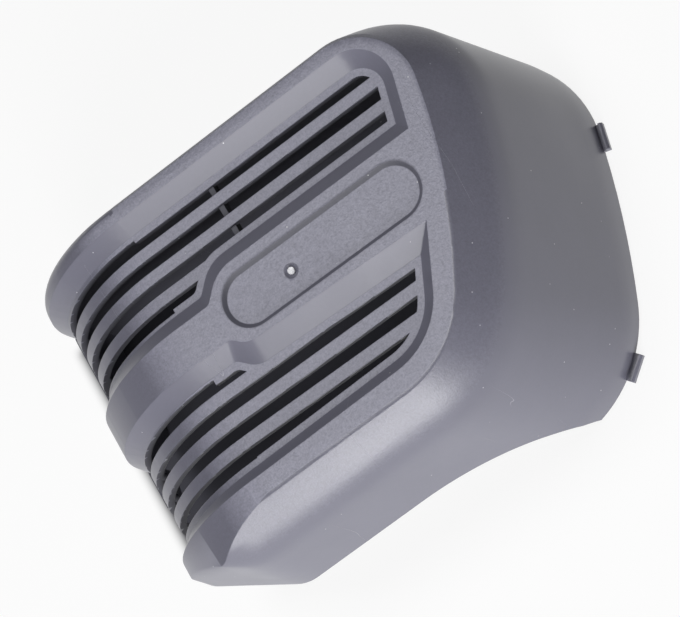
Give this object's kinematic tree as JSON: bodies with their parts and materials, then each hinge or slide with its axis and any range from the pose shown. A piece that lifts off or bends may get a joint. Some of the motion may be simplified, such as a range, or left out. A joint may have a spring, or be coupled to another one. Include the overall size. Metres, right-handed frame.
{
  "type": "injection moulded ventilated plastic housing",
  "caption": "Deep open-backed plastic cover with a slotted, rounded face, a long recessed oval panel and a side wall cut back in an arch",
  "frame": {"origin": "centre of the bounding box on the plane of the open rim, which the cover rests on", "axes": "+X along the vent slots towards the bowed end wall, +Y across the slots towards the full-depth straight side wall, +Z out of the slotted face"},
  "size_m": [0.1942, 0.1328, 0.09],
  "materials": {
    "shell_plastic": "fine spark-eroded grain on the slotted face, smooth satin on the chamfer and side walls"
  },
  "bodies": {
    "root": {"housing_shell": "shell_plastic"}
  },
  "joints": []
}
